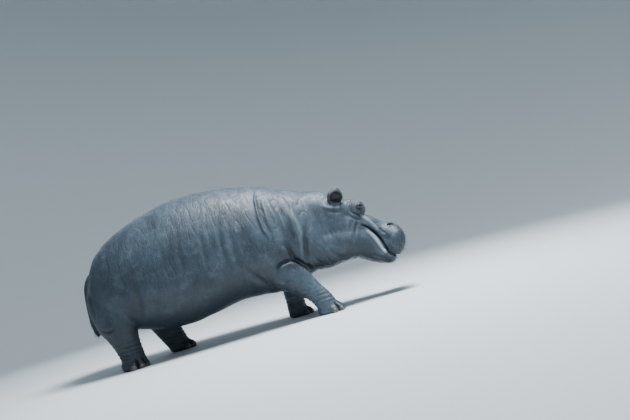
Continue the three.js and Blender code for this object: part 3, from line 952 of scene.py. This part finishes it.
horn, tree = new_material("worn_nail_horn")
grown = cloud(tree, 9, stretch=(1, 1, 3.5))
tone = layered(tree, colour("#3f3c39"), (
    (cloud(tree, 26), 0.35, 0.65, 1.0, "#625d55"),
    (grown, 0.5, 0.7, 0.6, "#2b2927"),
))
shader = add(tree, "ShaderNodeBsdfPrincipled", {
    "Base Color": tone, "Roughness": 0.42, "IOR": 1.54, "Normal": bumped(tree, ((grown, 1.2, 0.4),)),
})
add(tree, "ShaderNodeOutputMaterial", {0: shader.outputs[0]})
NAIL_HEIGHT, NAIL_RADII, NAIL_DROOP, NAIL_AHEAD = 22, (31, 27.5, 27), 25, 38


def nail_form(turn, place):
    """A nail: an ovoid squared off ahead and below, as a hoof is, with a shallow crown, turned and placed.

    Ahead of its middle each point goes out to a superellipse seen from above, so that the front is broad and
    blunt, and the lower edge is flared by a few millimetres.
    """
    vertices, faces = ovoid((0, 0, 0), NAIL_RADII, around=48, along=30)
    x, y, z = vertices.T
    ahead = ramp(x, -6, 14)
    broad = 1 + 0.16 * ahead * (1 - np.abs(y / NAIL_RADII[1]) ** 2)
    blunt = NAIL_RADII[0] * 0.9 * signed_power(np.clip(x / NAIL_RADII[0], 0, 1), 0.62)
    vertices[:, 0] = np.where(x > 0, blunt, x)
    vertices[:, 1] = y * (1 + 0.10 * ahead)
    vertices[:, 0] += 2.5 * ramp(z, 10, -14) * ahead * broad
    vertices = vertices @ turn.T + place
    vertices[:, 2] = np.maximum(vertices[:, 2], 0.4)
    return vertices, faces


for leg_name, leg in LEGS.items():
    for number, angle in enumerate(TOE_ANGLES, start=1):
        turn = turn_matrix(y=NAIL_DROOP, z=leg[1] + angle)
        vertices, faces = nail_form(turn, toe_place(leg, angle, NAIL_AHEAD, NAIL_HEIGHT))
        name = f"nail_{leg_name}_horn_{number}"
        nail = new_piece(name, to_frame(vertices), faces)
        nail.data.materials.append(horn)
        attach(nail, "root")
        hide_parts(f"nail_{leg_name}_{number}")

# ---------------- bristles
# The only hair: stiff dark bristles a few centimetres long, in loose rows on the lips and chin, as a thin
# fringe round each ear and as a flat two-edged brush at the tail's end. Each is a fine cone that bends down.

bristle_finish, tree = new_material("stiff_dark_bristle")
shade = layered(tree, colour("#15110f"), ((cloud(tree, 8), 0.35, 0.65, 1.0, "#4a3f36"),))
shader = add(tree, "ShaderNodeBsdfPrincipled", {"Base Color": shade, "Roughness": 0.38, "IOR": 1.55})
add(tree, "ShaderNodeOutputMaterial", {0: shader.outputs[0]})


def unwrapped(points):
    """The hide laid flat: along the animal, and round it as an angle about a line through its middle."""
    low, high = np.array(cad_box[0]), np.array(cad_box[1])
    frame_points = to_frame(points)
    along = (frame_points[:, 0] - low[0]) / (high[0] - low[0])
    angle = np.arctan2(frame_points[:, 1], frame_points[:, 2] - 0.5 * high[2]) / (2 * np.pi) + 0.5
    return np.stack([0.02 + 0.96 * along, 0.02 + 0.96 * angle], -1)


PATCH = 0.003  # how much of the map one bristle takes up


def bristles_at(roots, ways, lengths, thickness, droop):
    """Cones along curves: root + way * length * s + droop * length * s squared, downwards, for shares s.

    Five sides, four rings and a tip each. Gives points, blocks of faces and places on the unwrapped hide.
    """
    count, sides = len(roots), 5
    s = np.array([-0.08, 0.3, 0.65, 0.9])
    side_way = np.cross(ways, np.array([0.31, 0.52, 0.79]))
    side_way /= np.linalg.norm(side_way, axis=1)[:, None]
    other_way = np.cross(ways, side_way)
    turn = np.linspace(0, 2 * np.pi, sides, endpoint=False)
    line = roots[:, None] + ways[:, None] * (lengths[:, None] * s)[..., None]
    line = line - np.array([0, 0, 1.0]) * (droop * lengths[:, None] * np.maximum(s, 0) ** 2)[..., None]
    spoke = side_way[:, None] * np.cos(turn)[None, :, None] + other_way[:, None] * np.sin(turn)[None, :, None]
    wide = thickness * (1 - 0.85 * np.maximum(s, 0) ** 1.5)
    rings = line[:, :, None] + spoke[:, None] * wide[None, :, None, None]
    tips = roots + ways * lengths[:, None] - np.array([0, 0, 1.0]) * (droop * lengths)[:, None]
    points = np.concatenate([rings.reshape(count, -1, 3), tips[:, None]], axis=1)
    each = points.shape[1]
    row, column = np.mgrid[0:len(s) - 1, 0:sides]
    beside = (column + 1) % sides
    quads = np.stack([row * sides + column, row * sides + beside, (row + 1) * sides + beside,
                      (row + 1) * sides + column], -1).reshape(-1, 4)
    top = (len(s) - 1) * sides
    column = np.arange(sides)
    caps = np.stack([top + column, top + (column + 1) % sides, np.full(sides, each - 1)], -1)
    start = (np.arange(count) * each)[:, None, None]
    base = np.arange(sides)[::-1] + start[:, 0]
    faces = [(quads + start).reshape(-1, 4), (caps + start).reshape(-1, 3), base]
    patch = PATCH * np.stack([np.linspace(0, 1, each), np.linspace(0, 1, each) ** 2], -1)
    places_flat = unwrapped(roots)[:, None] + patch[None]
    return points.reshape(-1, 3), faces, places_flat.reshape(-1, 2)


rng = np.random.default_rng(5)


def rooted(mask, count, long, ways):
    """Seeded choice of points of the hide where the mask allows: roots, ways and lengths."""
    chosen = rng.choice(np.flatnonzero(mask), count)
    lengths = long * rng.uniform(0.6, 1.1, count)
    aim = ways[chosen] + 0.18 * rng.normal(size=(count, 3))
    return points[chosen], aim / np.linalg.norm(aim, axis=1)[:, None], lengths


lip = (head[:, 0] > 735) & (head[:, 2] > -175) & (head[:, 2] < 40) & (np.abs(head[:, 1]) > 25)
chin = (head[:, 0] > 700) & (head[:, 2] < -222) & (head[:, 2] > -285)
tuft_sets = [  # each with the bristles' thickness and droop
    (rooted(lip, 300, 30, facing), 0.75, 0.35),
    (rooted(chin, 110, 20, facing), 0.65, 0.3),
]
for side in SIDES.values():
    local = in_ear(head, side)
    inside = across_cup(local)
    fringe = (inside > 0.8) & (inside < 1.35) & (np.abs(local[:, 1]) < 50) & (local[:, 2] > 40)
    spread_out = local * (1, 0, 1) - (0, 0, 50)
    spread_out /= np.linalg.norm(spread_out, axis=1)[:, None] + 1e-6
    spread_out = (0.8 * spread_out + (0, 0.5, 0)) @ ear_turn(side).T
    spread_out = head_to_body(spread_out) - HEAD_ORIGIN
    tuft_sets.append((rooted(fringe, 120, 19, spread_out), 0.55, 0.1))
tail_end = (points[:, 0] < 116) & (points[:, 2] < 545) & (points[:, 2] > 345) & (np.abs(points[:, 1]) < 36)
tail_end &= np.abs(facing[:, 1]) > 0.6
tuft_sets.append((rooted(tail_end, 260, 34, facing * (0.3, 0.8, 0) - (0, 0, 0.9)), 0.8, 0.25))
hairs = [bristles_at(*roots, thickness, droop) for roots, thickness, droop in tuft_sets]
vertices, faces = joined([made[:2] for made in hairs])
bristles = new_piece("bristles", to_frame(vertices), faces)
lay_map(bristles.data, "OFBake", np.vstack([made[2] for made in hairs]))
bristles.data.materials.append(bristle_finish)
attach(bristles, "root")

# ---------------- studio
# A pale round floor that curves up into a wall, a broad soft light overhead, a weaker one from the viewer's
# side, and the camera low beside the animal, rolled so that it walks uphill in the view.

stage_finish, tree = new_material("matt_paper_backdrop")
shader = add(tree, "ShaderNodeBsdfPrincipled", {"Base Color": colour("#ccd2d5"), "Roughness": 0.9})
add(tree, "ShaderNodeOutputMaterial", {0: shader.outputs[0]})
FLAT_RADIUS, BEND_RADIUS, WALL_TOP = 7.5, 5.0, 14.0
bend = np.linspace(0, np.pi / 2, 24)
profile = np.vstack([
    np.stack([np.linspace(0, FLAT_RADIUS, 12), np.zeros(12)], -1),
    np.stack([FLAT_RADIUS + BEND_RADIUS * np.sin(bend), BEND_RADIUS * (1 - np.cos(bend))], -1)[1:],
    [(FLAT_RADIUS + BEND_RADIUS, WALL_TOP)],
])
turn = np.linspace(0, 2 * np.pi, 96, endpoint=False)
grid = np.stack([
    profile[:, :1] * np.cos(turn), profile[:, :1] * np.sin(turn), profile[:, 1:] * np.ones_like(turn),
], -1)
row, column = np.mgrid[1:len(profile) - 1, 0:len(turn)]
beside = (column + 1) % len(turn)
quads = np.stack([row, row + 1, row + 1, row], -1) * len(turn)
quads = (quads + np.stack([column, column, beside, beside], -1)).reshape(-1, 4) - len(turn) + 1
column = np.arange(len(turn))
middle = np.stack([np.zeros_like(column), 1 + column, 1 + (column + 1) % len(turn)], -1)
vertices = np.vstack([np.zeros((1, 3)), grid[1:].reshape(-1, 3)])
floor = new_piece("floor", vertices, [quads, middle])
floor.data.materials.append(stage_finish)

world = bpy.data.worlds.new("studio")
world.use_nodes = True
background = world.node_tree.nodes["Background"]
background.inputs[0].default_value = colour("#cfe0ea")
background.inputs[1].default_value = 0.5
bpy.context.scene.world = world


def soft_light(name, place, aim, size, power, tint):
    """A square area light at a place, turned to the aim."""
    light = bpy.data.lights.new(name, "AREA")
    light.size = size
    light.energy = power
    light.color = colour(tint)[:3]
    lamp = bpy.data.objects.new(name, light)
    lamp.location = place
    lamp.rotation_mode = "QUATERNION"
    lamp.rotation_quaternion = (Vector(place) - Vector(aim)).to_track_quat("Z", "Y")
    bpy.context.scene.collection.objects.link(lamp)


soft_light("overhead", (1.8, -0.9, 5.6), (0.2, 0.1, 0.0), 2.2, 1050, "#f4f9ff")
soft_light("viewer_side", (3.4, -5.0, 2.6), (0.3, 0.0, 0.6), 2.6, 25, "#dcefff")
soft_light("far_side", (-2.6, 4.6, 3.0), (0.0, 0.0, 0.7), 2.6, 50, "#e4f1ff")

CAMERA_PLACE = np.array([0.4244, -6.05, 0.62])
CAMERA_AIM = np.array([0.8044, 0.0, 0.985])
CAMERA_ROLL = math.radians(15.7)
ahead = (CAMERA_AIM - CAMERA_PLACE) / np.linalg.norm(CAMERA_AIM - CAMERA_PLACE)
level = np.cross(ahead, (0, 0, 1))
level /= np.linalg.norm(level)
upright = np.cross(level, ahead)
camera_up = upright * math.cos(CAMERA_ROLL) + level * math.sin(CAMERA_ROLL)
camera_right = level * math.cos(CAMERA_ROLL) - upright * math.sin(CAMERA_ROLL)
lens = bpy.data.cameras.new("camera")
lens.lens = 35
lens.sensor_width = 36
camera = bpy.data.objects.new("camera", lens)
camera.matrix_world = Matrix([
    [camera_right[k], camera_up[k], -ahead[k], CAMERA_PLACE[k]] for k in range(3)
] + [[0, 0, 0, 1]])
bpy.context.scene.collection.objects.link(camera)
bpy.context.scene.camera = camera
